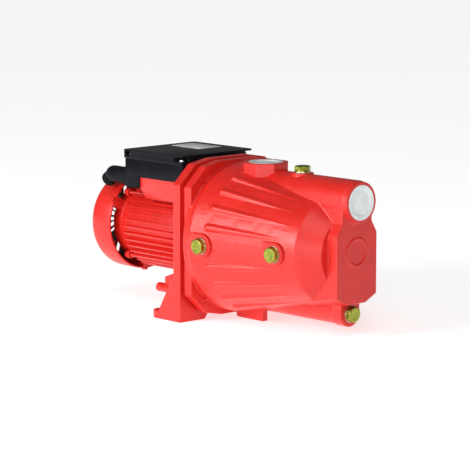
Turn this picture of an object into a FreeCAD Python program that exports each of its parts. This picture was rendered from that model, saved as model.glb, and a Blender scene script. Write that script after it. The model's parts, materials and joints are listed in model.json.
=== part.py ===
"""Horizontal self-priming jet pump with a finned single-phase motor, in millimetres.

+X runs along the shaft towards the suction port, +Z is up and the discharge port points up.
The origin is on the floor, midway between the two foot bolts.
Bodies on the shaft line are drawn about their own X axis, with X = 0 at the joint between
the pump casing and the motor bracket, and are placed at the shaft's height.
"""
import FreeCAD, Part
import math
import os
import Sketcher
from FreeCAD import Placement, Rotation, Vector

DRIVING_SIZES = {
    # where the shaft line and the joint plane lie
    "shaft_height": 98, "joint_x": 36,
    # flanges and bracket
    "flange_half_width": 78.5, "flange_half_height": 92, "flange_thickness": 12,
    "corner_cut_y": 24.5, "corner_cut_z": 27.5, "crown_half_width": 30, "crown_rise": 4.8,
    "wall_front": -4, "wall_back": -16, "foot_half_width": 82, "foot_back": -57,
    "foot_inner": 42, "foot_thickness": 10, "foot_bolt_y": 60, "foot_hole_radius": 5,
    "case_bolt_y": 59, "case_bolt_z": 71, "case_bolt_radius": 4,
    # pump casing
    "cone_base_radius": 89.8, "cone_base_x": 21, "cone_end_radius": 62.3, "cone_end_x": 168,
    "nose_radius": 43, "nose_x": 191.5, "block_x": 206, "block_half_width": 32.4,
    "suction_z": 59.8, "tube_radius": 25, "port_face_x": 212, "port_radius": 15.15,
    "discharge_x": 56.5, "discharge_z": 92.6, "boss_apothem": 26, "priming_x": 117.7,
    "priming_z": 85.6, "drain_z": -70, "drain_face_x": 196, "casting_wall": 5.5,
    "chamber_mouth": 70, "gasket_radius": 74.2, "impeller_radius": 54,
    "plug_hole_radius": 7.5, "plug_a_x": 40, "plug_a_y": 88.6, "plug_b_x": 142, "plug_b_y": 69.8,
    # motor
    "housing_bore": 44, "housing_radius": 48, "fin_radius": 54, "housing_back": -148,
    "fin_back": -138.5, "saddle_z": 63.9, "saddle_half_width": 56, "saddle_back": -104,
    "shield_radius": 46, "shield_back": -166, "stack_length": 70, "stack_back": -128,
    "rotor_radius": 27, "air_gap": 0.4, "shaft_radius": 8.5,
    # fan cover
    "cover_radius": 60, "cover_front": -157, "cover_back": -199, "cover_wall": 2,
    # terminal box
    "box_back": -133.3, "box_front": -26.8, "box_half_width": 58.5, "box_floor_z": 63.9,
    "lid_joint_z": 85.5, "lid_top_z": 96, "box_wall": 3,
}
BEARING_FRONT_X = -46
BEARING_REAR_X = -159
GLAND_Y = -46
FIN_STEP = 9
RIB_STEP = 15.75
COVER_LUG_ANGLES = (30, 150, 270)
TIE_ROD_ANGLES = (49.5, 130.5, 229.5, 310.5)
TIE_ROD_RADIUS = 51
DIFFUSER_SCREW_RADIUS = 24.5
DIFFUSER_SCREW_ANGLES = (45, 135, 225, 315)
BOX_SCREW_PLACES = ((-100, -20), (-100, 20), (-34.6, -20), (-34.6, 20))
SIDES = (-1, 1)


class Size:
    """A length that keeps both its value and the spreadsheet expression behind it."""

    def __init__(self, value, text):
        self.value = value
        self.text = text

    def __add__(self, other):
        other = as_size(other)
        return Size(self.value + other.value, f"({self.text} + {other.text})")

    def __sub__(self, other):
        other = as_size(other)
        return Size(self.value - other.value, f"({self.text} - {other.text})")

    def __mul__(self, other):
        other = as_size(other)
        return Size(self.value * other.value, f"({self.text} * {other.text})")

    def __truediv__(self, other):
        other = as_size(other)
        return Size(self.value / other.value, f"({self.text} / {other.text})")

    def __radd__(self, other):
        return as_size(other) + self

    def __rsub__(self, other):
        return as_size(other) - self

    __rmul__ = __mul__

    def __neg__(self):
        return Size(-self.value, f"(-1 * {self.text})")


def as_size(number):
    return number if isinstance(number, Size) else Size(float(number), f"({float(number)!r})")


doc = FreeCAD.newDocument("JetPump")
sheet = doc.addObject("Spreadsheet::Sheet", "Sizes")


class Driving:
    """One attribute for each named cell of the sheet."""


size = Driving()
for row, (alias, number) in enumerate(DRIVING_SIZES.items(), start=1):
    sheet.set(f"A{row}", alias)
    sheet.set(f"B{row}", str(number))
    sheet.setAlias(f"B{row}", alias)
    setattr(size, alias, Size(float(number), f"Sizes.{alias}"))
doc.recompute()

nodes = {}


def bind(thing, **properties):
    """Set each property's expression; a double underscore stands for a dot."""
    for name, number in properties.items():
        thing.setExpression(name.replace("__", "."), as_size(number).text)


def keep(thing, label):
    """Name a finished sub-part after its node."""
    thing.Label = label
    nodes[label] = thing
    return thing


def on_shaft_line(thing):
    """Place a body's own frame on the shaft line at the joint plane."""
    thing.Placement = Placement(Vector(size.joint_x.value, 0, size.shaft_height.value), Rotation())
    bind(thing, Placement__Base__x=size.joint_x, Placement__Base__z=size.shaft_height)
    return thing


def new_body(label):
    return on_shaft_line(keep(doc.addObject("PartDesign::Body", label + "_body"), label))


def origin_feature(body, role):
    return next(item for item in body.Origin.OriginFeatures if item.Role == role)


def new_sketch(body, role, offset=0):
    """A sketch on one of the body's own origin planes, moved along the plane's normal."""
    sketch = body.newObject("Sketcher::SketchObject", f"sketch_{len(doc.Objects)}")
    sketch.AttachmentSupport = [(origin_feature(body, role), "")]
    sketch.MapMode = "FlatFace"
    offset = as_size(offset)
    sketch.AttachmentOffset = Placement(Vector(0, 0, offset.value), Rotation())
    bind(sketch, AttachmentOffset__Base__z=offset)
    return sketch


def pin_point(sketch, geometry, end, across, up):
    """Hold a sketch point at a distance across and up from the sketch's origin."""
    for kind, number in (("DistanceX", as_size(across)), ("DistanceY", as_size(up))):
        index = sketch.addConstraint(Sketcher.Constraint(kind, -1, 1, geometry, end, number.value))
        sketch.renameConstraint(index, f"{kind}_{geometry}")
        bind(sketch, **{f"Constraints__{kind}_{geometry}": number})


def draw_polygon(sketch, points):
    flat = [Vector(as_size(across).value, as_size(up).value, 0) for across, up in points]
    lines = [sketch.addGeometry(Part.LineSegment(start, flat[(i + 1) % len(flat)]), False)
             for i, start in enumerate(flat)]
    for i, line in enumerate(lines):
        after = lines[(i + 1) % len(lines)]
        sketch.addConstraint(Sketcher.Constraint("Coincident", line, 2, after, 1))
    for line, (across, up) in zip(lines, points):
        pin_point(sketch, line, 1, across, up)


def draw_circle(sketch, across, up, radius):
    radius = as_size(radius)
    centre = Vector(as_size(across).value, as_size(up).value, 0)
    circle = sketch.addGeometry(Part.Circle(centre, Vector(0, 0, 1), radius.value), False)
    pin_point(sketch, circle, 3, across, up)
    index = sketch.addConstraint(Sketcher.Constraint("Radius", circle, radius.value))
    sketch.renameConstraint(index, f"radius_{circle}")
    bind(sketch, **{f"Constraints__radius_{circle}": radius})


def shape_between(body, kind, role, start, end, draw):
    """Pad or pocket a sketch from one offset of a plane to a higher one."""
    if kind == "Pad":
        sketch = new_sketch(body, role, start)
    else:
        sketch = new_sketch(body, role, end)
    draw(sketch)
    feature = body.newObject(f"PartDesign::{kind}", f"{kind}_{len(doc.Objects)}")
    feature.Profile = sketch
    bind(feature, Length=as_size(end) - as_size(start))
    return feature


def prism(body, role, start, end, points, kind="Pad"):
    return shape_between(body, kind, role, start, end, lambda sketch: draw_polygon(sketch, points))


def disc(body, role, start, end, across, up, radius, kind="Pad"):
    return shape_between(body, kind, role, start, end,
                         lambda sketch: draw_circle(sketch, across, up, radius))


def spin(body, points, kind="Revolution"):
    """Turn a closed outline of (x, radius) points about the body's X axis."""
    sketch = new_sketch(body, "XZ_Plane")
    draw_polygon(sketch, points)
    feature = body.newObject(f"PartDesign::{kind}", f"{kind}_{len(doc.Objects)}")
    feature.Profile = sketch
    feature.ReferenceAxis = (sketch, ["H_Axis"])
    feature.Angle = 360
    return feature


def turned(label, points):
    """A body turned about the shaft line from one closed (x, radius) outline."""
    body = new_body(label)
    spin(body, points)
    return body


def ring(label, start, end, inner, outer):
    return turned(label, [(start, inner), (end, inner), (end, outer), (start, outer)])


def repeat_round(body, features, angle, count):
    """Repeat features about the body's X axis over the given total angle."""
    pattern = body.newObject("PartDesign::PolarPattern", f"round_{len(doc.Objects)}")
    pattern.Originals = features
    pattern.Axis = (origin_feature(body, "X_Axis"), [""])
    pattern.Angle = angle
    pattern.Occurrences = count
    body.Tip = pattern
    return pattern


def arc_points(centre_x, centre_r, radius, start, end, steps=8):
    """Points of an arc in an (x, radius) outline, by angle in degrees from +X."""
    points = []
    for step in range(steps + 1):
        angle = math.radians(start + (end - start) * step / steps)
        points.append((centre_x + radius * math.cos(angle), centre_r + radius * math.sin(angle)))
    return points


def mirror_pairs(points):
    """Close a half outline, given from low to high Y, with its mirror image across Y = 0."""
    return points + [(-across, up) for across, up in reversed(points)]


def cut_corner_outline(half_width, half_height):
    """The flange's outline: a rectangle with cut corners and slightly crowned ends."""
    corner_y = half_width - size.corner_cut_y
    side_z = half_height - size.corner_cut_z
    corner_z = half_height - size.crown_rise
    right = [(size.crown_half_width, -half_height), (corner_y, -corner_z), (half_width, -side_z),
             (half_width, side_z), (corner_y, corner_z), (size.crown_half_width, half_height)]
    return mirror_pairs(right)


def four_corners():
    return [(y * size.case_bolt_y, z * size.case_bolt_z) for y in SIDES for z in SIDES]


def around(radius, angle):
    """Y and Z of a point at an angle from +Y towards +Z."""
    return radius * math.cos(math.radians(angle)), radius * math.sin(math.radians(angle))


def stacked(name, place, direction, steps):
    """Coaxial steps (kind, start, length, radius) along a direction from a place, as one solid."""
    turn = Rotation(Vector(0, 0, 1), Vector(*direction))
    pieces = []
    for kind, start, length, radius in steps:
        piece = doc.addObject("Part::Prism" if kind == "hex" else "Part::Cylinder", name + "_step")
        if kind == "hex":
            piece.Polygon = 6
            bind(piece, Circumradius=radius, Height=length)
        else:
            bind(piece, Radius=radius, Height=length)
        along = turn.multVec(Vector(0, 0, as_size(start).value))
        piece.Placement = Placement(Vector(*[as_size(p).value for p in place]) + along, turn)
        for axis_name, component, shift in zip("xyz", place, along):
            bind(piece, **{f"Placement__Base__{axis_name}": as_size(component) + shift})
        pieces.append(piece)
    if len(pieces) == 1:
        return pieces[0]
    whole = doc.addObject("Part::MultiFuse", name + "_fused")
    whole.Shapes = pieces
    return whole


def drilled(name, solid, hole):
    cut = doc.addObject("Part::Cut", name + "_cut")
    cut.Base = solid
    cut.Tool = hole
    return cut


def group(label, solids):
    """Several separate solids that share one node."""
    bundle = doc.addObject("Part::Compound", label + "_group")
    bundle.Links = solids
    return keep(bundle, label)


def row_place(x, y, z):
    """A place given about the shaft line, in the row's frame."""
    return (x + size.joint_x, y, z + size.shaft_height)


def washers(label, places, direction, inner, outer, thickness):
    made = []
    for place in places:
        solid = stacked(label, place, direction, [("round", 0, thickness, outer)])
        hole = stacked(label, place, direction, [("round", -1, thickness + 2, inner)])
        made.append(drilled(label, solid, hole))
    return group(label, made) if len(made) > 1 else keep(made[0], label)


# ---------------------------------------------------------------- pump casing

def cone_radius(x):
    """Outer radius of the casing's long cone at a distance from the joint."""
    slope = (size.cone_base_radius - size.cone_end_radius) / (size.cone_end_x - size.cone_base_x)
    return size.cone_base_radius - slope * (as_size(x) - size.cone_base_x)


def rib_feature(body, angle):
    """One tapered rib lying in the cone's surface, round at its start and fading at its end."""
    start_x, end_x = 45, 152
    start_radius, end_radius, proud = 4.6, 3.4, 3.1
    rise = cone_radius(end_x).value - end_radius - cone_radius(start_x).value - proud + start_radius
    run = end_x - start_x
    length = math.hypot(run, rise)
    start = Vector(start_x, cone_radius(start_x).value + proud - start_radius, 0)
    swing = Rotation(Vector(1, 0, 0), angle - 90)
    tilt = Rotation(Vector(0, 0, 1), math.degrees(math.atan2(rise, run)))
    sketch = new_sketch(body, "XZ_Plane")
    sketch.setExpression("AttachmentOffset.Base.z", None)
    sketch.AttachmentOffset = Placement(swing.multVec(start), swing.multiply(tilt))
    draw_polygon(sketch, arc_points(0, 0, start_radius, 180, 90, 5)
                 + [(length, end_radius), (length, 0)])
    rib = body.newObject("PartDesign::Revolution", f"rib_{len(doc.Objects)}")
    rib.Profile = sketch
    rib.ReferenceAxis = (sketch, ["H_Axis"])
    rib.Angle = 360
    return rib


def make_pump_casing():
    body = new_body("pump_casing")
    flange = size.flange_thickness
    base = size.cone_base_radius
    spin(body, [(flange - 4, 0), (flange - 4, base - 1.6), (size.cone_base_x - 4, base - 1.6),
                (size.cone_base_x - 2.4, base - 0.3), (size.cone_base_x, base),
                (size.cone_end_x - 1, size.cone_end_radius + 0.2),
                (size.cone_end_x + 1, size.cone_end_radius - 1), (size.nose_x, size.nose_radius),
                (size.nose_x, 0)])
    prism(body, "YZ_Plane", 0, flange, cut_corner_outline(size.flange_half_width,
                                                          size.flange_half_height))
    # ridge from the discharge boss to the suction boss, and the suction boss itself
    disc(body, "YZ_Plane", flange - 4, size.block_x, 0, size.suction_z, size.tube_radius)
    disc(body, "YZ_Plane", size.block_x - 6, size.port_face_x, 0, size.suction_z,
         size.tube_radius - 1)
    make_front_block(body)
    # drain channel with a D-shaped boss
    disc(body, "YZ_Plane", 50, size.drain_face_x - 6, 0, size.drain_z, 14.2)
    disc(body, "YZ_Plane", size.drain_face_x - 16, size.drain_face_x, 0, size.drain_z, 15.2)
    prism(body, "YZ_Plane", size.drain_face_x - 16, size.drain_face_x,
          mirror_pairs([(15.2, size.drain_z), (15.2, -52)]))
    # discharge boss and priming boss
    side = size.boss_apothem
    half_edge = side * math.tan(math.radians(22.5))
    octagon = [(half_edge, -side), (side, -half_edge), (side, half_edge), (half_edge, side),
               (-half_edge, side), (-side, half_edge), (-side, -half_edge), (-half_edge, -side)]
    prism(body, "XY_Plane", 30, size.discharge_z,
          [(size.discharge_x + along, across) for along, across in octagon])
    disc(body, "XY_Plane", 60, size.priming_z, size.priming_x, 0, 13)
    # flat D-shaped pads under the two side plugs
    for pad_x, pad_y, reach in ((size.plug_a_x, size.plug_a_y, 14.0),
                                (size.plug_b_x, size.plug_b_y, 13.0)):
        disc(body, "XZ_Plane", pad_y - 16, pad_y, pad_x, 0, reach)
        prism(body, "XZ_Plane", pad_y - 16, pad_y,
              [(pad_x - 22, -reach), (pad_x, -reach), (pad_x, reach), (pad_x - 22, reach)])
    # rib under the casing, which stands on the floor as a third foot
    floor = -size.shaft_height
    prism(body, "XZ_Plane", -4, 4, [(flange - 2, floor + 2), (flange, floor), (56, floor),
                                    (56, -78), (flange - 2, -78)])
    for middle in (181, -1):
        for first in (middle - 4 * RIB_STEP, middle + RIB_STEP):
            repeat_round(body, [rib_feature(body, first)], 3 * RIB_STEP, 4)
    # plain raised ring on the block's face
    disc(body, "YZ_Plane", size.block_x - 2, size.block_x + 0.9, 0, 2, 17)
    disc(body, "YZ_Plane", size.block_x, size.block_x + 5, 0, 2, 14.4, "Pocket")
    cut_casing_passages(body)
    return body


def make_front_block(body):
    """The block that carries the suction passage down from the port to the ejector."""
    half = size.block_half_width
    back_x = 150

    def outline(drop):
        return mirror_pairs([(14.5, -57.2 - drop), (half, -48.3 - drop), (half, 23), (24, 37),
                             (24, size.suction_z)])
    front = new_sketch(body, "YZ_Plane", size.block_x)
    draw_polygon(front, outline(0))
    back = new_sketch(body, "YZ_Plane", back_x)
    draw_polygon(back, outline(9))
    loft = body.newObject("PartDesign::AdditiveLoft", "front_block")
    loft.Profile = front
    loft.Sections = [back]
    loft.Ruled = True


def cut_casing_passages(body):
    wall = size.casting_wall
    partition_back = 162
    chamber_back, chamber_front = 176, size.block_x - 6
    # main chamber, open at the joint
    spin(body, [(0, 0), (0, size.gasket_radius), (0.9, size.gasket_radius),
                (0.9, size.chamber_mouth), (16, size.chamber_mouth),
                (26, cone_radius(26) - wall),
                (partition_back - 4, cone_radius(partition_back) - wall),
                (partition_back, 50), (partition_back, 0)], "Groove")
    # separation space in the ridge
    disc(body, "YZ_Plane", 10, partition_back, 0, size.suction_z, 17.5, "Pocket")
    # suction chamber and port
    prism(body, "YZ_Plane", chamber_back, chamber_front,
          mirror_pairs([(16, -16), (16, size.suction_z)]), "Pocket")
    disc(body, "YZ_Plane", chamber_back, chamber_front, 0, size.suction_z, 16, "Pocket")
    disc(body, "YZ_Plane", chamber_front - 2, size.port_face_x, 0, size.suction_z,
         size.port_radius, "Pocket")
    # bore for the venturi's mouth, and the drilled feed to the nozzle
    disc(body, "YZ_Plane", partition_back - 4, chamber_back + 2, 0, 0, 13.2, "Pocket")
    disc(body, "YZ_Plane", partition_back - 4, 194, 0, -28, 5, "Pocket")
    disc(body, "XY_Plane", -30, -12, 190, 0, 4, "Pocket")
    # discharge, priming, drain and side holes
    disc(body, "XY_Plane", 60, size.discharge_z, size.discharge_x, 0, size.port_radius, "Pocket")
    disc(body, "XY_Plane", 66, size.priming_z, size.priming_x, 0, size.plug_hole_radius, "Pocket")
    disc(body, "YZ_Plane", size.drain_face_x - 20, size.drain_face_x, 0, size.drain_z,
         size.plug_hole_radius, "Pocket")
    disc(body, "YZ_Plane", 84, size.drain_face_x - 18, 0, size.drain_z, 5.5, "Pocket")
    for pad_x, pad_y in ((size.plug_a_x, size.plug_a_y), (size.plug_b_x, size.plug_b_y)):
        disc(body, "XZ_Plane", pad_y - 22, pad_y, pad_x, 0, size.plug_hole_radius, "Pocket")
    for across, up in four_corners():
        disc(body, "YZ_Plane", 0, size.flange_thickness, across, up, 4.05, "Pocket")


# ---------------------------------------------------------------- motor bracket

def make_motor_bracket():
    body = new_body("motor_bracket")
    half = size.foot_half_width
    floor = -size.shaft_height
    height = size.flange_half_height + 1.5
    corner_y = half - size.corner_cut_y
    wall = [(size.foot_inner - 14, floor + 22), (size.foot_inner - 7, floor + 9),
            (size.foot_inner, floor), (half, floor), (half, height - size.corner_cut_z),
            (corner_y, height - size.crown_rise), (size.crown_half_width, height)]
    prism(body, "YZ_Plane", size.wall_back, size.wall_front, mirror_pairs(wall))
    prism(body, "YZ_Plane", size.wall_front - 1, 0,
          cut_corner_outline(size.flange_half_width - 4, size.flange_half_height - 4))
    for side in SIDES:
        foot = [(size.foot_back, side * (half - 8)), (size.foot_back, side * size.foot_inner),
                (size.wall_back + 2, side * size.foot_inner), (size.wall_back + 2, side * half),
                (size.foot_back + 8, side * half), (size.foot_back + 2.4, side * (half - 2.4))]
        prism(body, "XY_Plane", floor, floor + size.foot_thickness, foot)
        gusset = [(size.foot_back + 13, floor + 8), (size.wall_back + 1, floor + 8),
                  (size.wall_back + 1, floor + 56), (size.wall_back - 6, floor + 46)]
        prism(body, "XZ_Plane", -side * (half - 3.5) - 3.5, -side * (half - 3.5) + 3.5, gusset)
        # web with a round-ended lug below it
        web = [(size.wall_back - 25, -62), (size.wall_back + 1, -62), (size.wall_back + 1, -38),
               (size.wall_back - 25, -48)]
        prism(body, "XZ_Plane", -side * 70 - 3, -side * 70 + 3, web)
        disc(body, "YZ_Plane", size.wall_back - 39, size.wall_back - 9, side * 70, -62, 5.5)
    # bearing hub inside the motor, and the register that centres the housing
    disc(body, "YZ_Plane", BEARING_FRONT_X, size.wall_back + 1, 0, 0, 29)
    spin(body, [(size.wall_back - 5, size.housing_bore - 4), (size.wall_back + 1, 39),
                (size.wall_back + 1, size.housing_bore - 0.1),
                (size.wall_back - 5, size.housing_bore - 0.1)])
    spin(body, [(-12, 0), (1, 0), (1, 21), (-12, 21)], "Groove")
    spin(body, [(BEARING_FRONT_X - 1, 0), (-11, 0), (-11, 10.5), (BEARING_FRONT_X + 12, 10.5),
                (BEARING_FRONT_X + 12, 20.02), (BEARING_FRONT_X - 1, 20.02)], "Groove")
    for across, up in four_corners():
        disc(body, "YZ_Plane", size.wall_back, 1, across, up, 4.3, "Pocket")
    for side in SIDES:
        disc(body, "XY_Plane", floor, floor + size.foot_thickness, -size.joint_x,
             side * size.foot_bolt_y, size.foot_hole_radius, "Pocket")
    for angle in TIE_ROD_ANGLES:
        across, up = around(TIE_ROD_RADIUS, angle)
        disc(body, "YZ_Plane", size.wall_back, -6, across, up, 2.3, "Pocket")
    return body


# ---------------------------------------------------------------- motor

def make_motor_housing():
    body = new_body("motor_housing")
    front = size.wall_back
    half = size.saddle_half_width
    saddle = mirror_pairs([(38, 34), (47, 37), (half, 51), (half, size.saddle_z)])
    prism(body, "YZ_Plane", size.saddle_back, front, saddle)
    spin(body, [(size.housing_back, 40), (front, 40), (front, size.housing_radius),
                (size.housing_back, size.housing_radius)])
    fin = prism(body, "YZ_Plane", size.fin_back, front,
                [(-1.5, 42), (1.5, 42), (1.1, size.fin_radius), (-1.1, size.fin_radius)])
    repeat_round(body, [fin], 360, 360 // FIN_STEP)
    spin(body, [(size.housing_back - 1, 0), (front + 1, 0), (front + 1, size.housing_bore),
                (size.housing_back - 1, size.housing_bore)], "Groove")
    # window under the terminal box for the leads and the capacitor
    prism(body, "XY_Plane", 40, size.saddle_z, [(-95, -30), (-40, -30), (-40, 30), (-95, 30)],
          "Pocket")
    for across, up in BOX_SCREW_PLACES:
        disc(body, "XY_Plane", size.saddle_z - 9, size.saddle_z, across, up, 2.1, "Pocket")
    for angle in TIE_ROD_ANGLES:
        across, up = around(TIE_ROD_RADIUS, angle)
        disc(body, "YZ_Plane", size.housing_back, front, across, up, 2.5, "Pocket")
    return body


def make_rear_end_shield():
    body = new_body("rear_end_shield")
    back, joint = size.shield_back, size.housing_back
    spin(body, [(back, 8), (back, size.shield_radius), (joint, size.shield_radius),
                (joint, size.housing_bore - 0.1), (joint + 6, size.housing_bore - 0.1),
                (joint + 6, size.housing_bore - 4), (back + 6, size.housing_bore - 4),
                (back + 6, 22), (BEARING_REAR_X + 12, 22), (BEARING_REAR_X + 12, 17.52),
                (BEARING_REAR_X - 1.5, 17.52), (BEARING_REAR_X - 1.5, 8)])
    lug = prism(body, "YZ_Plane", back, back + 10,
                [(-6, 42), (6, 42), (6, size.cover_radius - 2.5), (-6, size.cover_radius - 2.5)])
    repeat_round(body, [lug], 360, 3)
    for angle in TIE_ROD_ANGLES:
        disc(body, "YZ_Plane", joint - 4, joint, *around(50, angle), 5.5)
    for angle in TIE_ROD_ANGLES:
        across, up = around(TIE_ROD_RADIUS, angle)
        disc(body, "YZ_Plane", joint - 4, joint, across, up, 2.5, "Pocket")
    return body


def turn_lugs(body):
    """Bring a three-fold pattern drawn at the top round to the cover's lug angles."""
    body.Placement = Placement(body.Placement.Base, Rotation(Vector(1, 0, 0), 180))


def make_fan_cover():
    body = new_body("fan_cover")
    wall = size.cover_wall
    back, front, outer = size.cover_back, size.cover_front, size.cover_radius
    bend = 14
    spin(body, [(back, 0)] + arc_points(back + bend, outer - bend, bend, 180, 90)
         + [(front, outer), (front, 0)])
    spin(body, [(back + wall, 0)]
         + arc_points(back + bend, outer - bend, bend - wall.value, 180, 90)
         + [(front + 1, outer - wall), (front + 1, 0)], "Groove")
    slot = prism(body, "YZ_Plane", back - 1, back + 4, [(-2.4, 18), (2.4, 18), (3, 44), (-3, 44)],
                 "Pocket")
    repeat_round(body, [slot], 360, 20)
    hole = disc(body, "XY_Plane", outer - 6, outer + 2, size.shield_back + 5, 0, 2.3, "Pocket")
    repeat_round(body, [hole], 360, 3)
    return body


def make_shaft_line():
    stack_front = size.stack_back + size.stack_length
    shaft = turned("shaft", [(-193, 0), (-193, 7), (-160.5, 7), (-160.5, 7.5), (-147.5, 7.5),
                             (-147.5, 10.5), (BEARING_FRONT_X - 0.5, 10.5),
                             (BEARING_FRONT_X - 0.5, size.shaft_radius), (2, size.shaft_radius),
                             (2, 7), (34, 7), (34, 0)])
    prism(shaft, "XY_Plane", 5.58, 8, key_outline(11, 21, 1.52), "Pocket")
    ring("rotor_core", size.stack_back, stack_front, 10.5, size.rotor_radius)
    ends = [doc_ring(size.stack_back - 8, size.stack_back, 15, 26),
            doc_ring(stack_front, stack_front + 8, 15, 26)]
    group("rotor_end_rings", ends)
    ring("stator_core", size.stack_back, stack_front, size.rotor_radius + size.air_gap,
         size.housing_bore)
    for label, stack_end, away in (("stator_winding_rear", size.stack_back, -1),
                                   ("stator_winding_front", stack_front, 1)):
        turned(label, [(stack_end, 31.5), (stack_end + away * 10, 31.5),
                       (stack_end + away * 13, 34), (stack_end + away * 13, 38.5),
                       (stack_end + away * 10, 41), (stack_end, 41)])
    for name, back_x, bore, outer, width in (("front", BEARING_FRONT_X, size.shaft_radius, 20, 12),
                                             ("rear", BEARING_REAR_X, as_size(7.5), 17.5, 11)):
        middle = (bore + outer) / 2
        ring(f"{name}_bearing_outer_race", back_x, back_x + width, middle + 3, outer)
        make_inner_race(f"{name}_bearing_inner_race", back_x, width, bore, middle)
    ring("wave_spring", BEARING_REAR_X - 1.4, BEARING_REAR_X - 0.1, 10.5, 17)
    ring("water_slinger", -31, -28.5, size.shaft_radius, 10)


def key_outline(start, end, half_width):
    return [(start, -half_width), (end, -half_width), (end, half_width), (start, half_width)]


def doc_ring(start, end, inner, outer):
    """A plain ring about the shaft line, from two cylinders."""
    place = row_place(as_size(start), 0, as_size(0))
    length = as_size(end) - as_size(start)
    solid = stacked("ring", place, (1, 0, 0), [("round", 0, length, outer)])
    hole = stacked("ring_hole", place, (1, 0, 0), [("round", -1, length + 2, inner)])
    return drilled("ring", solid, hole)


def make_inner_race(label, back_x, width, bore, middle):
    """Inner race with its balls and cage, which turn with the shaft."""
    body = new_body(label)
    ball_radius = 2.9
    spin(body, [(back_x, bore), (back_x + width, bore), (back_x + width, middle - 2),
                (back_x, middle - 2)])
    spin(body, [(back_x + width / 2 - 2, middle - 2.4), (back_x + width / 2 + 2, middle - 2.4),
                (back_x + width / 2 + 2, middle + 1), (back_x + width / 2 - 2, middle + 1)])
    ball = body.newObject("PartDesign::AdditiveSphere", f"ball_{len(doc.Objects)}")
    ball.Radius = ball_radius
    ball.Placement = Placement(Vector(back_x + width / 2, 0, middle.value), Rotation())
    repeat_round(body, [ball], 360, 8)
    return body


# ---------------------------------------------------------------- hydraulic parts

def make_impeller():
    body = new_body("impeller")
    rim = size.impeller_radius
    spin(body, [(5, 7), (26, 7), (26, 12), (11, 14), (8.5, rim), (5, rim)])
    spin(body, [(15.5, rim), (17.5, rim), (21.5, 22), (27, 21), (27, 18.5), (19.6, 18.5)])
    vane = prism(body, "YZ_Plane", 7, 16.5, vane_outline())
    repeat_round(body, [vane], 360, 6)
    prism(body, "XY_Plane", 4, 8.42, key_outline(4, 27, 1.52), "Pocket")


def vane_outline():
    """A swept-back vane from the eye to the rim, 2 mm thick."""
    angles = (0, 14, 30, 48)
    radii = (19, 31, 43, size.impeller_radius.value - 0.5)
    outer_face = [around(radius, angle) for radius, angle in zip(radii, angles)]
    inner_face = [around(radius, angle - 114 / radius) for radius, angle in zip(radii, angles)]
    return outer_face + inner_face[::-1]


def make_hydraulics():
    make_impeller()
    key = new_body("impeller_key")
    prism(key, "XY_Plane", 5.6, 8.4, key_outline(11, 21, 1.5))
    nut = stacked("nut", row_place(as_size(26.3), 0, as_size(0)), (1, 0, 0),
                  [("hex", 0, 6.5, 11)])
    hole = stacked("nut_hole", row_place(as_size(25), 0, as_size(0)), (1, 0, 0),
                   [("round", 0, 9, 7)])
    keep(drilled("nut", nut, hole), "impeller_nut")
    make_diffuser()
    venturi = turned("venturi_tube", [(40.2, 14), (40.2, 28), (43.5, 28), (43.5, 18), (150, 10),
                                      (156, 13), (175.5, 13), (175.5, 9), (158, 5.2), (150, 5)])
    for angle in DIFFUSER_SCREW_ANGLES:
        disc(venturi, "YZ_Plane", 39, 45, *around(DIFFUSER_SCREW_RADIUS, angle), 1.3, "Pocket")
    ring("venturi_seal", 159, 161.8, 13.1, 16.5)
    turned("ejector_nozzle", [(168, 3.2), (168, 5), (184, 11), (186, 12), (199.9, 12), (199.9, 8),
                              (187, 8), (184, 6)])
    ring("seal_seat_cup", -12, -4.2, 17.6, 20.9)
    ring("seal_seat", -11.9, -4.2, 9.6, 17.5)
    ring("seal_head", -4.1, -1.2, 8.6, 15)
    ring("seal_spring_collar", 2.1, 4.9, 7.1, 15)
    make_seal_spring()
    ring("casing_gasket", 0.05, 0.85, size.chamber_mouth + 0.2, size.gasket_radius - 0.2)


def make_seal_spring():
    """Conical spring between the seal's rotating face and its collar, as a stack of coils."""
    coils = [doc_ring(-1.1 + 1.6 * step, -0.2 + 1.6 * step, 10.6, 12.4) for step in range(2)]
    group("seal_spring", coils)


def make_diffuser():
    """Guide wheel: a back-open cup round the impeller whose front plate carries the venturi."""
    body = new_body("diffuser")
    outer = size.chamber_mouth - 0.6
    spin(body, [(28, 21.5), (40, 21.5), (40, outer), (3, outer), (3, outer - 4), (36, outer - 4),
                (36, 45), (28, 30)])
    spin(body, [(22.5, 56), (37, 56), (37, outer - 3), (22.5, outer - 3)])
    slot = disc(body, "YZ_Plane", 20, 42, 0, 61, 3.2, "Pocket")
    repeat_round(body, [slot], 360, 12)
    for angle in DIFFUSER_SCREW_ANGLES:
        disc(body, "YZ_Plane", 28, 42, *around(DIFFUSER_SCREW_RADIUS, angle), 1.2, "Pocket")


# ---------------------------------------------------------------- fan

def make_fan():
    body = new_body("cooling_fan")
    spin(body, [(-191, 7.05), (-171, 7.05), (-171, 13), (-191, 13)])
    spin(body, [(-174, 12), (-172, 12), (-172, 40), (-174, 30)])
    blade = prism(body, "YZ_Plane", -191, -172.5, [(-1.1, 11), (1.1, 11), (0.8, 52), (-0.8, 52)])
    repeat_round(body, [blade], 360, 9)
    ring("fan_clip", -170.9, -169.7, 7.05, 10.5)


# ---------------------------------------------------------------- terminal box

def rounded_box(body, low, high, half, bottom, top):
    """A box with cut vertical corners, as a prism along Z."""
    cut = 2.5
    prism(body, "XY_Plane", bottom, top,
          [(low + cut, -half), (high - cut, -half), (high, -half + cut), (high, half - cut),
           (high - cut, half), (low + cut, half), (low, half - cut), (low, -half + cut)])


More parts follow.
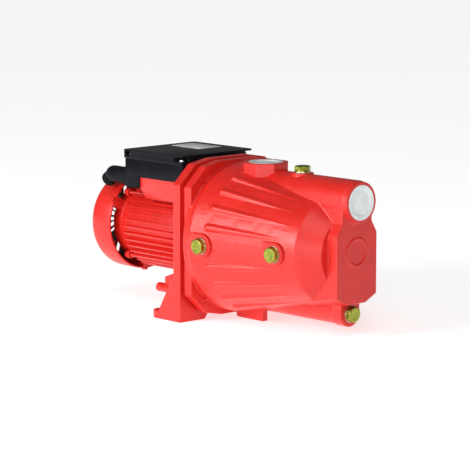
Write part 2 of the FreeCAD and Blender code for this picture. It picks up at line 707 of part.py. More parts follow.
def inner_outline():
    """The box's hollow, with a solid post left in each corner for a lid screw."""
    far_x, far_y = size.box_front - 1 - size.box_wall, size.box_half_width - 1 - size.box_wall
    near_x, low = size.box_front - 13, size.box_back
    post_y = size.box_half_width - 13
    right = [(near_x, far_y), (near_x, post_y), (far_x, post_y)]
    left = [(low + 1 + size.box_wall, post_y), (low + 13, post_y), (low + 13, far_y)]
    half = left + right
    return half + [(across, -up) for across, up in reversed(half)]


def corner_places(inset):
    return [(x, side * (size.box_half_width - inset)) for side in SIDES
            for x in (size.box_back + inset, size.box_front - inset)]


def make_terminal_box():
    base = new_body("terminal_box_base")
    wall, half = size.box_wall, size.box_half_width
    low, high = size.box_back, size.box_front
    rounded_box(base, low + 1, high - 1, half - 1, size.box_floor_z, size.lid_joint_z - 1)
    # deeper pocket behind the saddle, where the cable comes in
    prism(base, "XY_Plane", size.box_floor_z - 13, size.box_floor_z + 3,
          [(low + 1, -half + 1), (size.saddle_back - 0.5, -half + 1), (size.saddle_back - 0.5, -30),
           (low + 1, -30)])
    prism(base, "XY_Plane", size.box_floor_z + wall, size.lid_joint_z, inner_outline(), "Pocket")
    prism(base, "XY_Plane", size.box_floor_z - 10, size.box_floor_z + 8,
          [(low + 4, -54), (size.saddle_back - 4, -54), (size.saddle_back - 4, -33),
           (low + 4, -33)], "Pocket")
    disc(base, "YZ_Plane", low - 1, low + 6, GLAND_Y, size.box_floor_z - 2.4, 7, "Pocket")
    prism(base, "XY_Plane", size.box_floor_z - 1, size.box_floor_z + 5,
          [(-94, -28), (-38, -28), (-38, 28), (-94, 28)], "Pocket")
    for across, up in corner_places(8):
        disc(base, "XY_Plane", size.lid_joint_z - 14, size.lid_joint_z, across, up, 2.1, "Pocket")
    for across, up in BOX_SCREW_PLACES:
        disc(base, "XY_Plane", size.box_floor_z - 1, size.box_floor_z + 4, across, up, 2.1,
             "Pocket")
    gasket = new_body("box_gasket")
    rounded_box(gasket, low + 2, high - 2, half - 2, size.lid_joint_z - 1, size.lid_joint_z)
    prism(gasket, "XY_Plane", size.lid_joint_z - 2, size.lid_joint_z, inner_outline(), "Pocket")
    for across, up in corner_places(8):
        disc(gasket, "XY_Plane", size.lid_joint_z - 2, size.lid_joint_z, across, up, 2.1,
             "Pocket")
    lid = new_body("terminal_box_lid")
    rounded_box(lid, low, high, half, size.lid_joint_z, size.lid_top_z)
    prism(lid, "XY_Plane", size.lid_joint_z - 1, size.lid_top_z - wall,
          [(low + 12, -half + 12), (high - 12, -half + 12), (high - 12, half - 12),
           (low + 12, half - 12)], "Pocket")
    # recesses for the lid's screws: the rear pair is closed at the back
    for side in SIDES:
        for x_low, x_high in ((low + 2, low + 13), (high - 13, high + 1)):
            y_low, y_high = (-half - 1, -half + 13) if side < 0 else (half - 13, half + 1)
            prism(lid, "XY_Plane", size.lid_joint_z + 3, size.lid_top_z - 2,
                  [(x_low, y_low), (x_high, y_low), (x_high, y_high), (x_low, y_high)], "Pocket")
    for across, up in corner_places(8):
        disc(lid, "XY_Plane", size.lid_joint_z - 1, size.lid_joint_z + 3, across, up, 2.1,
             "Pocket")
    make_box_contents()


def make_box_contents():
    low, high, half = size.box_back, size.box_front, size.box_half_width
    screws = [stacked("lid_screw", row_place(x, y, size.lid_joint_z + 3), (0, 0, -1),
                      [("round", -3.2, 3.2, 3.6), ("round", 0, 14, 2)])
              for x, y in corner_places(8)]
    group("lid_screws", screws)
    fixing = [stacked("box_screw", row_place(as_size(x), y, size.box_floor_z + 3), (0, 0, -1),
                      [("round", -2.4, 2.4, 3.4), ("round", 0, 11, 2)])
              for x, y in BOX_SCREW_PLACES]
    group("box_screws", fixing)
    plate = new_body("rating_plate")
    prism(plate, "XY_Plane", size.lid_top_z, size.lid_top_z + 0.4,
          [(low + 14, 8), (low + 66, 8), (low + 66, 44), (low + 14, 44)])
    block = new_body("terminal_block")
    floor = size.box_floor_z + 3
    prism(block, "XY_Plane", floor, floor + 9, [(-118, -20), (-104, -20), (-104, 20), (-118, 20)])
    prism(block, "XY_Plane", floor + 8, floor + 13, [(-112.5, -20), (-109.5, -20), (-109.5, 20),
                                                     (-112.5, 20)])
    for up in (-14, -5, 5, 14):
        for across in (-115.3, -106.7):
            disc(block, "XY_Plane", floor + 3, floor + 14, across, up, 1.7, "Pocket")
    studs = [stacked("terminal_screw", row_place(as_size(x), y, floor + 9), (0, 0, -1),
                     [("round", -1.8, 1.8, 2.6), ("round", 0, 5.5, 1.6)])
             for y in (-14, -5, 5, 14) for x in (-115.3, -106.7)]
    group("terminal_screws", studs)
    capacitor = stacked("capacitor", row_place(as_size(-92), 10, size.box_floor_z + 12),
                        (1, 0, 0), [("round", 0, 49, 11.5), ("round", 49, 3, 8)])
    keep(capacitor, "run_capacitor")
    band = stacked("clamp", row_place(as_size(-72), 10, size.box_floor_z + 12), (1, 0, 0),
                   [("round", 0, 8, 12.6)])
    hole = stacked("clamp_hole", row_place(as_size(-73), 10, size.box_floor_z + 12), (1, 0, 0),
                   [("round", 0, 10, 11.6)])
    keep(drilled("clamp", band, hole), "capacitor_clamp")


def ball(name, place, radius):
    sphere = doc.addObject("Part::Sphere", name)
    sphere.Placement = Placement(Vector(*[as_size(p).value for p in place]), Rotation())
    bind(sphere, Radius=radius, Placement__Base__x=place[0], Placement__Base__y=place[1],
         Placement__Base__z=place[2])
    return sphere


def make_gland():
    """A collar behind the box, an elbow that droops from it, a nut and a rubber seal."""
    across, up = GLAND_Y, size.box_floor_z - 2.4
    start = row_place(size.box_back + 1, across, up)
    droop = 36
    down = (-math.cos(math.radians(droop)), 0, -math.sin(math.radians(droop)))
    elbow = row_place(size.box_back - 30.7, across, up)
    collar = stacked("collar", start, (-1, 0, 0), [("round", 0, 31.7, 10.5)])
    knee = ball("knee", elbow, 10.5)
    neck = stacked("neck", elbow, down, [("round", 0, 9, 7.6)])
    outer = doc.addObject("Part::MultiFuse", "gland_outer")
    outer.Shapes = [collar, knee, neck]
    inner_a = stacked("inner_a", start, (-1, 0, 0), [("round", -1, 32.7, 5.2)])
    inner_b = stacked("inner_b", elbow, down, [("round", 0, 12, 5.2)])
    passage = doc.addObject("Part::MultiFuse", "gland_passage")
    passage.Shapes = [inner_a, ball("inner_knee", elbow, 5.2), inner_b]
    keep(drilled("gland_body", outer, passage), "gland_body")
    nut = stacked("gland_nut", elbow, down, [("round", 7.6, 7, 9.4), ("round", 14.6, 1.4, 8.4)])
    nut_bore = stacked("gland_nut_bore", elbow, down, [("round", 7, 7.2, 7.7)])
    nut_mouth = stacked("gland_nut_mouth", elbow, down, [("round", 13, 5, 5.4)])
    nut_hole = doc.addObject("Part::MultiFuse", "gland_nut_opening")
    nut_hole.Shapes = [nut_bore, nut_mouth]
    keep(drilled("gland_nut", nut, nut_hole), "gland_nut")
    seal = stacked("gland_seal", elbow, down, [("round", 9.1, 5, 7.5), ("round", 14, 2.4, 5.3)])
    seal_hole = stacked("gland_seal_hole", elbow, down, [("round", 8, 12, 4)])
    keep(drilled("gland_seal", seal, seal_hole), "gland_seal")


# ---------------------------------------------------------------- plugs and fasteners

def plug(name, place, direction, shank):
    """Hex plug seated 1.5 mm off its face, with the washer's thickness below the head."""
    return stacked(name, place, direction,
                   [("round", -shank, shank + 1.6, 7.2), ("round", 1.5, 1.6, 9.2),
                    ("hex", 3.0, 5.0, 9.8)])


def make_plugs():
    side_places = [row_place(size.plug_a_x, -size.plug_a_y, as_size(0)),
                   row_place(size.plug_b_x, -size.plug_b_y, as_size(0))]
    top_place = row_place(size.priming_x, 0, size.priming_z)
    front_place = row_place(size.drain_face_x, 0, size.drain_z)
    group("side_plugs", [plug("side_plug", place, (0, -1, 0), 8) for place in side_places])
    washers("side_plug_washers", side_places, (0, -1, 0), 7.6, 9.7, 1.5)
    keep(plug("priming_plug", top_place, (0, 0, 1), 7), "priming_plug")
    washers("priming_plug_washer", [top_place], (0, 0, 1), 7.25, 9.7, 1.45)
    keep(plug("drain_plug", front_place, (1, 0, 0), 8), "drain_plug")
    washers("drain_plug_washer", [front_place], (1, 0, 0), 7.25, 9.7, 1.45)


def make_fasteners():
    behind_wall = [row_place(size.wall_back, across, up) for across, up in four_corners()]
    washers("casing_bolt_washers", behind_wall, (-1, 0, 0), 4.2, 7.4, 1.5)
    group("casing_bolts", [stacked("casing_bolt", place, (-1, 0, 0),
                                   [("round", -27.6, 29.2, size.case_bolt_radius),
                                    ("hex", 1.5, 5.3, 7.2)]) for place in behind_wall])
    rods = []
    for angle in TIE_ROD_ANGLES:
        across, up = around(TIE_ROD_RADIUS, angle)
        rods.append(stacked("tie_rod", row_place(size.housing_back - 4, across, up), (1, 0, 0),
                            [("round", -4, 4, 4.2), ("round", 0, 141, 2.2)]))
    group("tie_rods", rods)
    screws = []
    for angle in COVER_LUG_ANGLES:
        across, up = around(size.cover_radius.value, angle)
        outward = (0, *around(1, angle))
        screws.append(stacked("cover_screw", row_place(size.shield_back + 5, across, up), outward,
                              [("round", 0.15, 2.1, 3.8), ("round", -2.3, 2.6, 2)]))
    group("fan_cover_screws", screws)
    small = []
    for angle in DIFFUSER_SCREW_ANGLES:
        across, up = around(DIFFUSER_SCREW_RADIUS, angle)
        small.append(stacked("diffuser_screw", row_place(as_size(43.5), across, up), (-1, 0, 0),
                             [("round", -1.5, 1.5, 1.9), ("round", 0, 12, 1.1)]))
    group("diffuser_screws", small)
    keep(stacked("earth_screw", row_place(size.wall_back, 66, as_size(10)), (-1, 0, 0),
                 [("hex", 0, 4, 5)]), "earth_screw")


def check_and_export():
    """Stop on any failed object, then write each sub-part's shape."""
    doc.recompute()
    for thing in doc.Objects:
        if {"Invalid", "Error"} & set(thing.State):
            raise RuntimeError(f"{thing.Label}: {thing.State}")
    os.makedirs("parts", exist_ok=True)
    for label, thing in nodes.items():
        shape = thing.Shape
        if shape.isNull() or not shape.isValid():
            raise RuntimeError(f"{label}: null or invalid shape")
        shape.exportStep(f"parts/{label}.step")
        print(f"{label}: {len(shape.Solids)} solids, {shape.Volume / 1000:.1f} cm3")


make_pump_casing()
make_motor_bracket()
make_motor_housing()
make_rear_end_shield()
turn_lugs(nodes["rear_end_shield"])
make_fan_cover()
turn_lugs(nodes["fan_cover"])
make_shaft_line()
make_hydraulics()
make_fan()
make_terminal_box()
make_gland()
make_plugs()
make_fasteners()
check_and_export()
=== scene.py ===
"""Horizontal jet pump: finishes, small pieces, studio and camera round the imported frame, in metres."""
import json
import math

import bmesh
import bpy
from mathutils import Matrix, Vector


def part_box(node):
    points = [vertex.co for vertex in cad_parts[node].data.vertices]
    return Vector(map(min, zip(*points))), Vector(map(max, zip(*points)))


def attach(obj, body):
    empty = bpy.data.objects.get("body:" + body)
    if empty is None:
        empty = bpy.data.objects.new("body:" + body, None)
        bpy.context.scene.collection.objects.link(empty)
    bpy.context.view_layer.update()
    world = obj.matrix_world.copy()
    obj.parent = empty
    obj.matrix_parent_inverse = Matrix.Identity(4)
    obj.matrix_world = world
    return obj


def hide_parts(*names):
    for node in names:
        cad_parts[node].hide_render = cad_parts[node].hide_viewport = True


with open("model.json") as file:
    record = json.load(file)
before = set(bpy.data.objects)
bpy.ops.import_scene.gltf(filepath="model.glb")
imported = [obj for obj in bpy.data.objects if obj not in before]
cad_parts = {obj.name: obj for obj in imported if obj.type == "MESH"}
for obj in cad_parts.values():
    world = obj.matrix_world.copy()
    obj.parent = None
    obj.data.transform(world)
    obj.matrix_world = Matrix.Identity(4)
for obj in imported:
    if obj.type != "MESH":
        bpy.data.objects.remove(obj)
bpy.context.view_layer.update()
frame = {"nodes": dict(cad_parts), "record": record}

MM = 0.001
WASHER_MM = 1.5
GLAND_DROOP = 36
SHARP_ANGLE = math.radians(38)
PAINTED_OVER = ("casing_bolts", "tie_rods", "fan_cover_screws", "casing_bolt_washers")
SLOT_OF = {part["node"]: part["material_slot"] for part in frame["record"]["subparts"]}
MOUNTS = {mount["name"]: mount for mount in frame["record"]["mounts"]}


# ---------------------------------------------------------------- materials

class Finish:
    """A material with a Principled shader, with short calls for the nodes that feed it."""

    def __init__(self, name, roughness, metallic=0.0):
        self.material = bpy.data.materials.new(name)
        self.material.use_nodes = True
        self.tree = self.material.node_tree
        self.shader = self.tree.nodes["Principled BSDF"]
        self.shader.inputs["Roughness"].default_value = roughness
        self.shader.inputs["Metallic"].default_value = metallic
        self.place = self.node("ShaderNodeTexCoord").outputs["Object"]

    def node(self, kind, **values):
        made = self.tree.nodes.new(kind)
        for name, value in values.items():
            made.inputs[name.replace("_", " ")].default_value = value
        return made

    def link(self, source, target):
        self.tree.links.new(source, target)

    def noise(self, size_mm, detail=3.0, roughness=0.5):
        """Noise whose blobs are about size_mm across."""
        made = self.node("ShaderNodeTexNoise", Scale=1000.0 / size_mm, Detail=detail,
                         Roughness=roughness)
        self.link(self.place, made.inputs["Vector"])
        return made.outputs["Fac"]

    def stretched_noise(self, size_mm, stretch):
        """Noise drawn out along each axis by the factors in stretch."""
        mapping = self.node("ShaderNodeMapping", Scale=tuple(1.0 / s for s in stretch))
        self.link(self.place, mapping.inputs["Vector"])
        made = self.node("ShaderNodeTexNoise", Scale=1000.0 / size_mm, Detail=2.0)
        self.link(mapping.outputs["Vector"], made.inputs["Vector"])
        return made.outputs["Fac"]

    def ramp(self, source, stops):
        """A colour ramp with stops of (position, colour)."""
        made = self.tree.nodes.new("ShaderNodeValToRGB")
        elements = made.color_ramp.elements
        while len(elements) < len(stops):
            elements.new(0.5)
        for element, (position, colour) in zip(elements, stops):
            element.position = position
            element.color = (*colour, 1.0)
        self.link(source, made.inputs["Fac"])
        return made.outputs["Color"]

    def colour(self, source, stops):
        self.link(self.ramp(source, stops), self.shader.inputs["Base Color"])

    def vary_roughness(self, source, low, high):
        self.link(self.ramp(source, [(0.3, (low,) * 3), (0.7, (high,) * 3)]),
                  self.shader.inputs["Roughness"])

    def bump(self, *layers):
        """Stack height layers, each (source, depth in millimetres)."""
        normal = None
        for source, depth_mm in layers:
            made = self.node("ShaderNodeBump", Strength=1.0, Distance=depth_mm * MM)
            self.link(source, made.inputs["Height"])
            if normal:
                self.link(normal, made.inputs["Normal"])
            normal = made.outputs["Normal"]
        self.link(normal, self.shader.inputs["Normal"])

    def gloss(self, level):
        self.shader.inputs["Specular IOR Level"].default_value = level

    def glow(self, strength):
        self.shader.inputs["Emission Color"].default_value = (1, 1, 1, 1)
        self.shader.inputs["Emission Strength"].default_value = strength

    def coat(self, weight, roughness):
        self.shader.inputs["Coat Weight"].default_value = weight
        self.shader.inputs["Coat Roughness"].default_value = roughness


def red_enamel(name, grain_mm, grain_depth):
    """Gloss enamel that follows the sand grain of the metal under it."""
    finish = Finish(name, 0.34)
    broad = finish.noise(26.0, 2.0)
    grain = finish.noise(grain_mm, 4.0, 0.6)
    finish.colour(broad, [(0.3, (0.61, 0.012, 0.007)), (0.7, (0.68, 0.016, 0.010))])
    finish.vary_roughness(grain, 0.32, 0.46)
    finish.bump((grain, grain_depth), (finish.noise(grain_mm * 3.2, 2.0), grain_depth * 1.6))
    finish.coat(0.42, 0.30)
    finish.gloss(0.32)
    return finish.material


def moulded_black():
    finish = Finish("moulded_black", 0.30)
    speck = finish.noise(0.9, 3.0)
    finish.colour(finish.noise(12.0), [(0.3, (0.005, 0.006, 0.008)), (0.7, (0.009, 0.010, 0.013))])
    finish.vary_roughness(speck, 0.28, 0.40)
    finish.bump((speck, 0.04))
    finish.gloss(0.08)
    return finish.material


def metal(name, dark, light, roughness, spot_mm=3.0, depth=0.03, stretch=None):
    """Metal with a tint that wanders between two colours and fine machining or plating marks."""
    finish = Finish(name, roughness, metallic=1.0)
    finish.colour(finish.noise(spot_mm, 4.0), [(0.3, dark), (0.7, light)])
    marks = finish.stretched_noise(0.5, stretch) if stretch else finish.noise(0.6, 3.0)
    finish.vary_roughness(marks, roughness * 0.8, roughness * 1.25)
    finish.bump((marks, depth))
    return finish.material


def moulding(name, dark, light, roughness, depth=0.05):
    finish = Finish(name, roughness)
    speck = finish.noise(1.0, 3.0)
    finish.colour(finish.noise(8.0), [(0.3, dark), (0.7, light)])
    finish.vary_roughness(speck, roughness * 0.85, roughness * 1.15)
    finish.bump((speck, depth))
    return finish.material


def windings():
    """Varnished copper wire lying round the overhang."""
    finish = Finish("wound_copper", 0.32, metallic=0.9)
    strands = finish.stretched_noise(1.2, (0.4, 6.0, 6.0))
    finish.colour(strands, [(0.3, (0.42, 0.13, 0.05)), (0.7, (0.80, 0.36, 0.16))])
    finish.bump((strands, 0.35))
    return finish.material


def laminations():
    """Edges of stacked sheets, 0.5 mm apart along the shaft."""
    finish = Finish("lamination_edges", 0.45, metallic=0.9)
    wave = finish.node("ShaderNodeTexWave", Scale=300.0, Distortion=0.4)
    wave.bands_direction = "X"
    finish.link(finish.place, wave.inputs["Vector"])
    finish.colour(wave.outputs["Fac"], [(0.2, (0.16, 0.16, 0.17)), (0.8, (0.36, 0.36, 0.38))])
    finish.bump((wave.outputs["Fac"], 0.05))
    return finish.material


def blank_label():
    """Foil plate in a plain pale grey, with no lettering."""
    finish = Finish("blank_label", 0.32)
    finish.colour(finish.noise(20.0), [(0.3, (0.66, 0.67, 0.69)), (0.7, (0.80, 0.81, 0.82))])
    finish.bump((finish.noise(0.8), 0.02))
    return finish.material


FINISHES = {
    "red_casting": red_enamel("red_cast_enamel", 2.4, 0.42),
    "red_aluminium": red_enamel("red_die_cast_enamel", 1.2, 0.07),
    "red_cover": red_enamel("red_sheet_enamel", 1.6, 0.04),
    "black_plastic": moulded_black(),
    "yellow_zinc": metal("yellow_zinc", (0.22, 0.29, 0.035), (0.44, 0.43, 0.08), 0.28, 4.0),
    "fibre_washer": metal("pale_washer", (0.50, 0.50, 0.36), (0.72, 0.70, 0.55), 0.35),
    "zinc_steel": metal("zinc_plate", (0.50, 0.52, 0.53), (0.72, 0.73, 0.74), 0.30),
    "machined_steel": metal("machined_steel", (0.50, 0.50, 0.51), (0.66, 0.66, 0.67), 0.24,
                            stretch=(0.3, 4.0, 4.0)),
    "lamination_steel": laminations(),
    "cast_aluminium": metal("cast_aluminium", (0.60, 0.61, 0.62), (0.78, 0.79, 0.80), 0.42),
    "copper_winding": windings(),
    "brass": metal("machined_brass", (0.66, 0.45, 0.17), (0.85, 0.64, 0.30), 0.26),
    "glass_filled_plastic": moulding("glass_filled", (0.03, 0.03, 0.032), (0.06, 0.06, 0.065), 0.5),
    "rubber": moulding("nitrile", (0.012, 0.012, 0.012), (0.03, 0.03, 0.03), 0.7),
    "seal_ceramic": moulding("lapped_ceramic", (0.74, 0.72, 0.66), (0.86, 0.85, 0.80), 0.2, 0.01),
    "seal_carbon": moulding("lapped_carbon", (0.03, 0.03, 0.032), (0.06, 0.06, 0.062), 0.3, 0.01),
    "capacitor_case": moulding("capacitor_case", (0.66, 0.66, 0.63), (0.8, 0.8, 0.77), 0.35),
    "terminal_plastic": moulding("terminal_plastic", (0.6, 0.56, 0.44), (0.75, 0.7, 0.58), 0.45),
    "label_foil": blank_label(),
}
PORT_FINISH = moulding("pale_lining", (0.66, 0.71, 0.71), (0.82, 0.87, 0.86), 0.38, 0.03)


# ---------------------------------------------------------------- edges and castings

def smooth_by_angle(limit):
    """A node group that shades faces smooth and keeps only edges sharper than the limit."""
    tree = bpy.data.node_groups.new("smooth_by_angle", "GeometryNodeTree")
    tree.interface.new_socket("Geometry", in_out="INPUT", socket_type="NodeSocketGeometry")
    tree.interface.new_socket("Geometry", in_out="OUTPUT", socket_type="NodeSocketGeometry")
    start = tree.nodes.new("NodeGroupInput")
    end = tree.nodes.new("NodeGroupOutput")
    faces = tree.nodes.new("GeometryNodeSetShadeSmooth")
    edges = tree.nodes.new("GeometryNodeSetShadeSmooth")
    edges.domain = "EDGE"
    angle = tree.nodes.new("GeometryNodeInputMeshEdgeAngle")
    below = tree.nodes.new("FunctionNodeCompare")
    below.operation = "LESS_THAN"
    below.inputs["B"].default_value = limit
    tree.links.new(start.outputs[0], faces.inputs["Geometry"])
    tree.links.new(faces.outputs["Geometry"], edges.inputs["Geometry"])
    tree.links.new(angle.outputs["Unsigned Angle"], below.inputs["A"])
    tree.links.new(below.outputs["Result"], edges.inputs["Shade Smooth"])
    tree.links.new(edges.outputs["Geometry"], end.inputs[0])
    return tree


SMOOTH_GROUP = smooth_by_angle(SHARP_ANGLE)


def add_shading(piece):
    piece.modifiers.new("shading", "NODES").node_group = SMOOTH_GROUP


def join_seams(piece):
    weld = piece.modifiers.new("weld", "WELD")
    weld.merge_threshold = 0.002 * MM


def soften_casting(piece, voxel_mm, passes):
    """Remesh a casting's outline finely and relax it, so that edges and roots are cast round."""
    join_seams(piece)
    remesh = piece.modifiers.new("skin", "REMESH")
    remesh.mode = "VOXEL"
    remesh.voxel_size = voxel_mm * MM
    remesh.use_smooth_shade = True
    relax = piece.modifiers.new("relax", "SMOOTH")
    relax.factor = 0.5
    relax.iterations = passes


def break_edges(piece, width_mm):
    """Weld a piece's seams, round its sharp edges and shade it by angle."""
    join_seams(piece)
    bevel = piece.modifiers.new("edge", "BEVEL")
    bevel.width = width_mm * MM
    bevel.segments = 2
    bevel.limit_method = "ANGLE"
    bevel.angle_limit = SHARP_ANGLE
    add_shading(piece)


CASTINGS = {"pump_casing": (0.7, 3), "motor_bracket": (0.8, 3)}
EDGE_WIDTHS = {"motor_housing": 0.5, "rear_end_shield": 0.6, "fan_cover": 0.4,
               "terminal_box_base": 0.6, "terminal_box_lid": 0.9, "rating_plate": 0.1}
DEFAULT_EDGE = 0.12


def finish_cad_nodes():
    for name, piece in frame["nodes"].items():
        piece.data.materials.clear()
        slot = "red_casting" if name in PAINTED_OVER else SLOT_OF[name]
        piece.data.materials.append(FINISHES[slot])
        if name in CASTINGS:
            soften_casting(piece, *CASTINGS[name])
        else:
            break_edges(piece, EDGE_WIDTHS.get(name, DEFAULT_EDGE))


# ---------------------------------------------------------------- lathe pieces

def axes_about(direction):
    """Two unit vectors square to a direction."""
    along = Vector(direction).normalized()
    across = Vector((0, 0, 1)) if abs(along.z) < 0.9 else Vector((1, 0, 0))
    first = across.cross(along).normalized()
    return first, along.cross(first)


def lathe(name, place, direction, rings, body, material, count=96, closed=True):
    """A skin of rings (height, radius or function of angle) about a direction, in millimetres.

    A closed skin has end faces; an open one joins its last ring to its first.
    """
    along = Vector(direction).normalized()
    first, second = axes_about(direction)
    mesh = bmesh.new()
    loops = []
    for height, radius_at in rings:
        loop = []
        for step in range(count):
            turn = 2 * math.pi * step / count
            radius = radius_at(turn) if callable(radius_at) else radius_at
            spoke = first * math.cos(turn) + second * math.sin(turn)
            loop.append(mesh.verts.new(Vector(place) + (along * height + spoke * radius) * MM))
        loops.append(loop)
    pairs = list(zip(loops, loops[1:]))
    if not closed:
        pairs.append((loops[-1], loops[0]))
    for low, high in pairs:
        for i in range(count):
            j = (i + 1) % count
            mesh.faces.new((low[i], low[j], high[j], high[i]))
    if closed:
        mesh.faces.new(loops[0][::-1])
        mesh.faces.new(loops[-1])
    return finish_piece(name, mesh, body, material)


def finish_piece(name, mesh, body, material):
    bmesh.ops.recalc_face_normals(mesh, faces=mesh.faces)
    data = bpy.data.meshes.new(name)
    mesh.to_mesh(data)
    mesh.free()
    piece = bpy.data.objects.new(name, data)
    bpy.context.scene.collection.objects.link(piece)
    data.materials.append(material)
    add_shading(piece)
    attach(piece, body)
    return piece


def hexagon(apothem):
    """Radius of a hexagon with this apothem at any angle."""
    def radius_at(turn):
        return apothem / math.cos((turn + math.pi / 6) % (math.pi / 3) - math.pi / 6)
    return radius_at


def trimmed(shape, limit):
    return lambda turn: min(shape(turn), limit)


def hex_plug(name, place, direction, shank_mm, body):
    """Threaded shank, round collar and a hexagon head with a chamfered and slightly sunk end."""
    flats = hexagon(8.5)
    pitch, crest, root = 1.337, 7.15, 6.5
    thread = [(-shank_mm + 0.4 + pitch * step / 2, crest if step % 2 else root)
              for step in range(int((shank_mm - 1) / pitch * 2))]
    head = [(0.6, 6.9), (1.5, 6.9), (1.52, 8.9), (1.8, 9.2), (2.7, 9.2), (3.0, 8.95), (3.02, 8.3),
            (3.3, flats), (6.7, flats)]
    head += [(6.7 + 0.16 * step, trimmed(flats, 9.8 - 0.27 * step)) for step in range(1, 6)]
    head += [(7.8, trimmed(flats, 8.2)), (7.95, 7.7), (8.0, 7.0), (7.85, 6.3), (7.8, 0.4)]
    return lathe(name, place, direction, [(-shank_mm, 6.0)] + thread + head, body,
                 FINISHES["yellow_zinc"], 144)


def middle(name):
    return [(low + high) / 2 for low, high in zip(*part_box(name))]


def plug_seats():
    """Where each plug's washer meets the casing: (name, node, seat, direction, shank, body)."""
    seats = []
    low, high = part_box("side_plug_washers")
    reach = (high[2] - low[2]) / 2
    for name, x, y in (("side_plug_rear", low[0] + reach, low[1] + WASHER_MM * MM),
                       ("side_plug_front", high[0] - reach, high[1])):
        seats.append((name, "side_plugs", (x, y, middle("side_plugs")[2]), (0, -1, 0), 8, "pump"))
    x, y, _ = middle("priming_plug")
    seats.append(("priming_plug_head", "priming_plug", (x, y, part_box("priming_plug_washer")[0][2]),
                  (0, 0, 1), 7, "priming_plug"))
    _, y, z = middle("drain_plug")
    seats.append(("drain_plug_head", "drain_plug", (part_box("drain_plug_washer")[0][0], y, z),
                  (1, 0, 0), 8, "drain_plug"))
    return seats


def make_plugs():
    for name, node, seat, direction, shank, body in plug_seats():
        piece = hex_plug(name, seat, direction, shank, body)
        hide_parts(node)


def make_port(mount, proud_mm, depth_mm):
    """A port's machined face, its chamfered mouth, the pipe thread and a lined bore behind it."""
    rim, thread_mm, pitch, crest, root = 20.2, 11.6, 2.309, 14.3, 15.1
    place, direction = MOUNTS[mount]["pos_m"], MOUNTS[mount]["axis"]
    rings = [(-0.8, rim), (proud_mm, rim), (proud_mm + 0.01, 15.6), (0.05, 15.0), (-1.2, 15.0)]
    for turn in range(int(thread_mm / pitch)):
        start = -1.3 - turn * pitch
        rings += [(start - 0.3, root), (start - 0.95, crest), (start - 1.25, crest),
                  (start - 1.95, root)]
    rings += [(-thread_mm - 0.4, 15.0), (-thread_mm - 0.6, 15.7), (-depth_mm + 2, 15.7),
              (-depth_mm, 14.0), (-depth_mm - 0.1, 0.3)]
    lathe(f"{mount}_face", place, direction, rings, "pump", PORT_FINISH, 144)


def make_gland_nut():
    """Clamp nut with grip flutes, a domed end and a mouth for the cord."""
    droop = math.radians(GLAND_DROOP)
    direction = (-math.cos(droop), 0, -math.sin(droop))
    height, radius, flutes, flute_depth = 8.4, 9.35, 12, 0.9

    def fluted(turn):
        return radius - flute_depth * max(0.0, math.cos(flutes * turn)) ** 2
    rings = [(-height / 2, 7.8), (-height / 2 + 0.02, radius - 0.6),
             (-height / 2 + 0.7, radius)]
    rings += [(-height / 2 + 1.5 + 0.5 * step, fluted) for step in range(9)]
    rings += [(height / 2 - 1.6, radius - 0.1), (height / 2 - 0.8, radius - 0.6),
              (height / 2 - 0.2, 8.2), (height / 2, 7.4), (height / 2, 5.6),
              (height / 2 - 0.6, 5.4), (-height / 2, 5.4)]
    piece = lathe("gland_nut_fluted", middle("gland_nut"), direction, rings, "pump",
                  FINISHES["black_plastic"], 192, closed=False)
    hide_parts("gland_nut")


def cross_screw(name, place, direction, radius, height):
    """Pan head with a domed top and a cross recess cut into it."""
    dome = [(0.0, radius), (height * 0.45, radius)]
    for step in range(1, 7):
        tilt = math.pi / 2 * step / 6
        dome.append((height * (0.45 + 0.55 * math.sin(tilt)),
                     radius * (0.25 + 0.75 * math.cos(tilt))))
    piece = lathe(name, place, direction, dome, "pump", FINISHES["zinc_steel"], 48)
    cutter = cross_cutter(name, place, direction, radius * 0.17, radius * 0.62, height)
    recess = piece.modifiers.new("recess", "BOOLEAN")
    recess.operation = "DIFFERENCE"
    recess.object = cutter
    recess.solver = "EXACT"
    piece.modifiers.move(len(piece.modifiers) - 1, 0)
    return apply_and_drop(piece, cutter)


def cross_cutter(name, place, direction, arm, reach, height):
    """A cross-shaped prism that stands through the top half of a screw's head."""
    along = Vector(direction).normalized()
    first, second = axes_about(direction)
    corners = [(arm, arm), (reach, arm), (reach, -arm), (arm, -arm), (arm, -reach), (-arm, -reach),
               (-arm, -arm), (-reach, -arm), (-reach, arm), (-arm, arm), (-arm, reach),
               (arm, reach)]
    mesh = bmesh.new()
    low, high = [[mesh.verts.new(Vector(place) + (along * lift + first * a + second * b) * MM)
                  for a, b in corners] for lift in (height * 0.45, height * 1.5)]
    mesh.faces.new(low)
    mesh.faces.new(high[::-1])
    for i in range(len(corners)):
        j = (i + 1) % len(corners)
        mesh.faces.new((low[j], low[i], high[i], high[j]))
    bmesh.ops.recalc_face_normals(mesh, faces=mesh.faces)
    data = bpy.data.meshes.new(name + "_cutter")
    mesh.to_mesh(data)
    mesh.free()
    cutter = bpy.data.objects.new(name + "_cutter", data)
    bpy.context.scene.collection.objects.link(cutter)
    return cutter


def apply_and_drop(piece, cutter):
    """Keep the cut mesh in the piece itself and remove the cutter."""
    piece.modifiers.remove(piece.modifiers["shading"])
    bpy.context.view_layer.update()
    settled = piece.evaluated_get(bpy.context.evaluated_depsgraph_get())
    cut = bpy.data.meshes.new_from_object(settled)
    piece.modifiers.clear()
    old = piece.data
    piece.data = cut
    bpy.data.meshes.remove(old)
    bpy.data.objects.remove(cutter)
    add_shading(piece)
    return piece


def four_places(name, radius_mm):
    """Centres of a four-screw node's heads, seen from above."""
    low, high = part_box(name)
    inset = radius_mm * MM
    return [(x, y) for x in (low[0] + inset, high[0] - inset)
            for y in (low[1] + inset, high[1] - inset)]


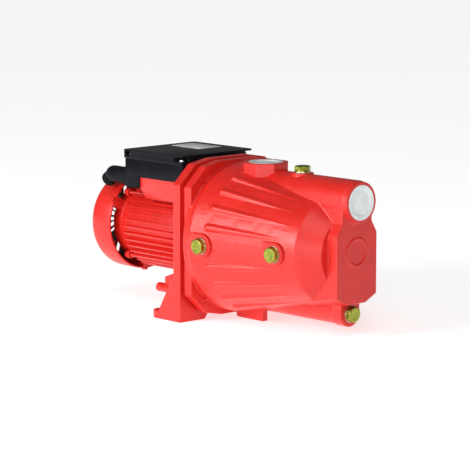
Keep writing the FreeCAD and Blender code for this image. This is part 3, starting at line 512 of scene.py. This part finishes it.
def make_lid_screws():
    radius, height = 3.6, 3.2
    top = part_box("lid_screws")[1][2]
    heads = [cross_screw(f"lid_screw_{i}", (x, y, top - height * MM), (0, 0, 1), radius, height)
             for i, (x, y) in enumerate(four_places("lid_screws", radius))]
    for head in heads:
        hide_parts("lid_screws")


# ---------------------------------------------------------------- studio

FLOOR_REACH = 12.0
FLOOR_GLOW = 0.58
WORLD_STRENGTH = 0.17
LIGHT_AIM = (0.04, 0, 0.1)


def add_lamp(name, data, direction, place=(0, 0, 0)):
    lamp = bpy.data.objects.new(name, data)
    lamp.location = place
    lamp.rotation_euler = Vector(direction).to_track_quat("-Z", "Y").to_euler()
    bpy.context.scene.collection.objects.link(lamp)


def softbox(name, place, size, watts):
    """A rectangular soft light that faces the middle of the pump."""
    data = bpy.data.lights.new(name, "AREA")
    data.shape = "RECTANGLE"
    data.size, data.size_y = size
    data.energy = watts
    add_lamp(name, data, Vector(LIGHT_AIM) - Vector(place), place)


def make_floor():
    finish = Finish("white_floor", 0.6)
    finish.colour(finish.noise(300.0), [(0.3, (0.93, 0.93, 0.93)), (0.7, (0.95, 0.95, 0.95))])
    finish.glow(FLOOR_GLOW)
    data = bpy.data.meshes.new("floor")
    data.from_pydata([(-FLOOR_REACH, -FLOOR_REACH, 0), (FLOOR_REACH, -FLOOR_REACH, 0),
                      (FLOOR_REACH, FLOOR_REACH, 0), (-FLOOR_REACH, FLOOR_REACH, 0)],
                     [], [(0, 1, 2, 3)])
    floor = bpy.data.objects.new("floor", data)
    bpy.context.scene.collection.objects.link(floor)
    data.materials.append(finish.material)


def make_lights():
    world = bpy.data.worlds.new("studio")
    world.use_nodes = True
    background = world.node_tree.nodes["Background"]
    background.inputs["Color"].default_value = (1, 1, 1, 1)
    background.inputs["Strength"].default_value = WORLD_STRENGTH
    bpy.context.scene.world = world
    sky = bpy.data.lights.new("sky_panel", "SUN")
    sky.energy, sky.angle = 0.8, math.radians(40)
    add_lamp("sky_panel", sky, (-0.6, 0.5, -1.0))
    softbox("key", (-0.45, -1.95, 0.8), (0.85, 0.8), 29)
    softbox("front", (1.6, -1.5, 0.4), (0.5, 0.6), 8)
    softbox("low_side", (0.15, -2.0, 0.18), (0.8, 0.35), 5)
    bpy.context.scene.view_settings.view_transform = "Standard"


def make_camera():
    """A long lens from the suction end and the side with the plugs, a little above."""
    turn, rise, distance = math.radians(46.82), math.radians(8.82), 2.895
    aim = Vector((0.0395, 0.0, 0.0974))
    back = Vector((math.sin(turn) * math.cos(rise), -math.cos(turn) * math.cos(rise),
                   math.sin(rise)))
    data = bpy.data.cameras.new("camera")
    data.lens, data.sensor_width = 185.5, 36.0
    camera = bpy.data.objects.new("camera", data)
    camera.location = aim + back * distance
    camera.rotation_euler = (-back).to_track_quat("-Z", "Y").to_euler()
    bpy.context.scene.collection.objects.link(camera)
    bpy.context.scene.camera = camera


finish_cad_nodes()
make_plugs()
make_port("suction_port", proud_mm=0.45, depth_mm=26.0)
make_port("discharge_port", proud_mm=0.3, depth_mm=13.0)
make_gland_nut()
make_lid_screws()
make_floor()
make_lights()
make_camera()
